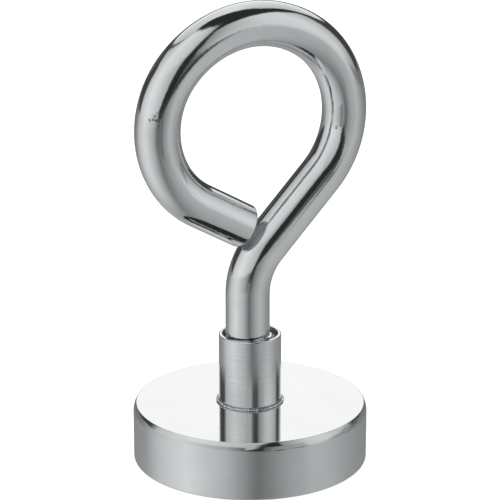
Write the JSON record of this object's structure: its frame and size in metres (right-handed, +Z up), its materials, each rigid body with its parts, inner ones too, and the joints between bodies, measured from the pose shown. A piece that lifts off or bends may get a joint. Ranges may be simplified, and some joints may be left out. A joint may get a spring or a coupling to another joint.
{
  "type": "magnet fishing magnet",
  "caption": "Round nickel-plated steel pot magnet with a threaded neck and a screwed-in bent-rod eye for tying on a retrieving rope.",
  "frame": {"origin": "centre of the pot's magnetic contact face, on the thread's axis", "axes": "+Z up the thread's axis, away from the magnetic face; X across the eye; Y through the eye's opening"},
  "size_m": [0.0341, 0.032, 0.0631],
  "materials": {
    "plated_steel": "bright nickel plate, polished top face, satin side",
    "turned_steel": "nickel plate over fine turning lines",
    "polished_rod": "bright nickel plate",
    "magnet_nickel": "satin nickel plate",
    "potting_epoxy": "cast epoxy",
    "thread_lock_resin": "cured clear resin"
  },
  "bodies": {
    "pot": {"pot_shell": "plated_steel", "threaded_neck": "turned_steel", "weld_bead": "plated_steel", "magnet_disc": "magnet_nickel", "magnet_adhesive": "potting_epoxy", "potting_ring": "potting_epoxy"},
    "thread_carrier": {"thread_lock_ring": "thread_lock_resin"},
    "eye": {"eye_bolt": "polished_rod"}
  },
  "joints": [
    {"name": "eye_advance", "type": "slide", "parent": "pot", "child": "thread_carrier", "axis": [0, 0, 1], "range_m": [0, 0.009]},
    {"name": "eye_turn", "type": "hinge", "parent": "thread_carrier", "child": "eye", "pos_m": [0, 0, 0.0177], "axis": [0, 0, 1], "range_deg": [0, 3240]}
  ],
  "couplings": [
    {"joint": "eye_advance", "follows": "eye_turn", "m_per_rad": 0.00015915}
  ]
}
